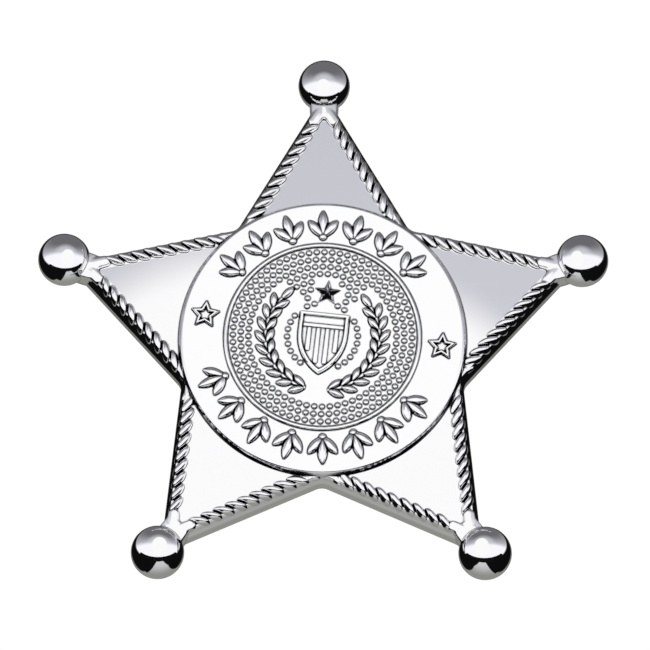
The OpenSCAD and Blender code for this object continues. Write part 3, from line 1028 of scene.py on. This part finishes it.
# %% [markdown]
# ## The shield
# A shield's foot is where two wide circles overlap. It could be cut out by two drums. A
# half circle is used instead, whose corners are moved row by row onto those two circles,
# because that keeps one clean face. The flanks are extruded from its straight side, and
# insets along a section raise its edge.

# %% Outline the shield
RELIEF_H, FOOT_ROWS, FOOT_ARC = 0.55, 8, 60
FLANK_Y = SHIELD_TOP - SHIELD_FLANK
# The raised edge: distance in from the outline, and height over the face
SHIELD_SECTION = ((0, 0), (0.02, 0.6 * RELIEF_H), (0.14, RELIEF_H),
                  (SHIELD_EDGE - 0.12, RELIEF_H), (SHIELD_EDGE, 0.6 * RELIEF_H),
                  (SHIELD_EDGE + 0.02, 0.6 * RELIEF_H))
shield = start("shield", bpy.ops.mesh.primitive_circle_add, vertices=4 * FOOT_ROWS,
               radius=SHIELD_W / 2, fill_type="NGON")
pick(shield, "VERT", lambda at: at.y > 0.01)
bpy.ops.mesh.dissolve_verts()
for k in range(FOOT_ROWS, 0, -1):
    row, arc = math.radians(90 * k / FOOT_ROWS), math.radians(FOOT_ARC * k / FOOT_ROWS)
    pick(shield, "VERT", lambda at: abs(at.y + SHIELD_W / 2 * math.sin(row)) < 0.001)
    drawn_in = (2 * math.cos(arc) - 1) / math.cos(row) if k < FOOT_ROWS else 1
    scale(drawn_in, 2 * math.sin(arc) / math.sin(row), 1)
pick(shield)
move(0, FLANK_Y, 0)
pick(shield, "EDGE", lambda at: abs(at.y - FLANK_Y) < 0.001)
bpy.ops.mesh.extrude_edges_move(TRANSFORM_OT_translate={"value": (0, SHIELD_FLANK * MM, 0)})
bpy.ops.mesh.select_all(action="SELECT")
bpy.ops.mesh.dissolve_limited(angle_limit=math.radians(0.5))
bpy.ops.mesh.select_all(action="SELECT")
bpy.ops.mesh.normals_make_consistent(inside=False)
follow(SHIELD_SECTION)
done(shield, 35)
print("shield:", len(shield.data.polygons), "faces")

# %% [markdown]
# ## The shield's ribs
# The shield is plain: one bar across its head and four upright ribs under it. Each is a
# box whose top edges are bevelled. A rib ends where the curved foot has narrowed to its
# outer side, and that place is worked out from the foot's circle.

# %% Rib the shield
BAR_ROUND = 0.12


def rounded_bar(name, low, high, rise):
    """A bar with rounded top edges from one corner to the other, in mm."""
    bar = start(name, bpy.ops.mesh.primitive_cube_add, size=1)
    pick(bar)
    scale(high[0] - low[0], high[1] - low[1], rise)
    move((low[0] + high[0]) / 2, (low[1] + high[1]) / 2, rise / 2)
    pick(bar, "EDGE", lambda at: at.z > 0.5 * rise - 0.01)
    bpy.ops.mesh.bevel(offset=BAR_ROUND * MM, segments=3, affect="EDGES")
    done(bar, 60)
    return bar


SHIELD_RIBS, RIB_RISE, HEAD_SHARE = 4, RELIEF_H * 0.85, 0.4
HEAD_Y = (SHIELD_TOP - SHIELD_EDGE) * HEAD_SHARE
inner = SHIELD_W / 2 - SHIELD_EDGE
rib_w = 2 * inner / (2 * SHIELD_RIBS + 1)
bars = [rounded_bar("head_bar", (-inner, HEAD_Y), (inner, HEAD_Y + SHIELD_EDGE), RIB_RISE)]
for i in range(SHIELD_RIBS):
    x = -inner + (2 * i + 1) * rib_w
    far = abs(x + rib_w / 2) + rib_w / 2
    foot = FLANK_Y - math.sqrt((SHIELD_W - SHIELD_EDGE) ** 2 - (far + SHIELD_W / 2) ** 2)
    bars.append(rounded_bar("rib", (x, foot), (x + rib_w, HEAD_Y), RIB_RISE))
shield = join("shield", [shield, *bars])
shield.data.transform(shift(0, 0, FACE_Z))
print("shield with its ribs:", len(shield.data.polygons), "faces")

# %% [markdown]
# ## The stars
# The star over the shield is faceted, so it is a ten sided cone with every other corner
# of its foot drawn in. The two on the band are outlines with a rounded line. A curve
# could draw them, but insets from a star shaped face give the line sharp corners.

# %% Raise the stars
CREST_IN, CREST_H = 0.42, RELIEF_H * 1.2
crest = start("crest_star", bpy.ops.mesh.primitive_cone_add, vertices=10, radius1=CREST_R,
              radius2=0, depth=CREST_H, location=(0, 0, CREST_H / 2))
pick(crest, "VERT", lambda at: at.z < 0.01 and in_notch(at))
scale(CREST_IN, CREST_IN, 1)
done(crest, 10)
crest.data.transform(shift(0, CREST_Y, FACE_Z))
SIDE_STAR_R, SIDE_STAR_IN, SIDE_STAR_TURNS = 1.85, 0.5, (175, 1)
SIDE_STAR_AT = (RING_R + RING_W / 2 + DISC_R - DISC_ROUND) / 2
LINE_SECTION = ((0, 0), (0.02, 0.16), (0.14, 0.3), (0.28, 0.3), (0.4, 0.16), (0.42, 0))
outline = start("outline_star", bpy.ops.mesh.primitive_circle_add, vertices=10,
                radius=SIDE_STAR_R, fill_type="NGON")
pick(outline, "VERT", in_notch)
scale(SIDE_STAR_IN, SIDE_STAR_IN, 1)
bpy.ops.mesh.select_all(action="SELECT")
follow(LINE_SECTION)
bpy.ops.mesh.delete(type="FACE")
done(outline, 40)
places = [turn(angle) @ shift(SIDE_STAR_AT, 0, FACE_Z) @ turn(-angle)
          for angle in SIDE_STAR_TURNS]
outlines = repeat("outline_stars", outline, places)
stars = join("relief_stars", [crest, outlines])
print("stars:", len(stars.data.polygons), "faces")

# %% [markdown]
# ## Put every piece in its place
# Everything was modelled round the middle of the star. The meshes themselves are moved,
# so that each object stays at the origin and the patterns in its material don't slide.
# The relief is turned a little, as the medallion on the badge is. Each piece then rides
# on the one body and replaces its solid, which is hidden.

# %% Place, plate and ride
DISC_TURN, RIM_SHADED_W = -6, 0.45
design = [beads, palmettes, wreath, shield, stars]
plating = {plate: star_plating, ropes: rope_plating, tips: rope_plating,
           disc: medallion_plating}
for piece in design:
    piece.data.transform(turn(DISC_TURN))
for piece in [plate, ropes, tips, disc, *design]:
    piece.data.transform(shift(0, CENTRE_Y, 0))
    piece.data.update()
    on_star = piece in (plate, ropes, tips)
    piece.data.materials.clear()
    piece.data.materials.append(plating.get(piece, relief_plating))
    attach(piece, "root")
    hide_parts("star_body" if on_star else "centre_disc")
# The outermost faces of the medallion have the rim's plating, whose painted shade reaches
# further
disc.data.materials.append(rim_plating_with_painted_shade)
for face in disc.data.polygons:
    off = math.hypot(face.center.x, face.center.y - CENTRE_Y * MM) / MM
    face.material_index = int(off > DISC_FOOT_R - RIM_SHADED_W)
print("pieces placed,", sum(len(piece.data.polygons) for piece in
                            [plate, ropes, tips, disc, *design]), "faces")

# %% [markdown]
# ## The pin
# The pin is hidden behind the badge and its solid is already as fine as a wire needs to
# be. It could be built anew, but it is kept as it is and only gets its steel.

# %% Give the pin its steel
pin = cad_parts["bar_pin"]
pin.data.materials.clear()
pin.data.materials.append(wire_steel)
print("pin:", len(pin.data.polygons), "faces")
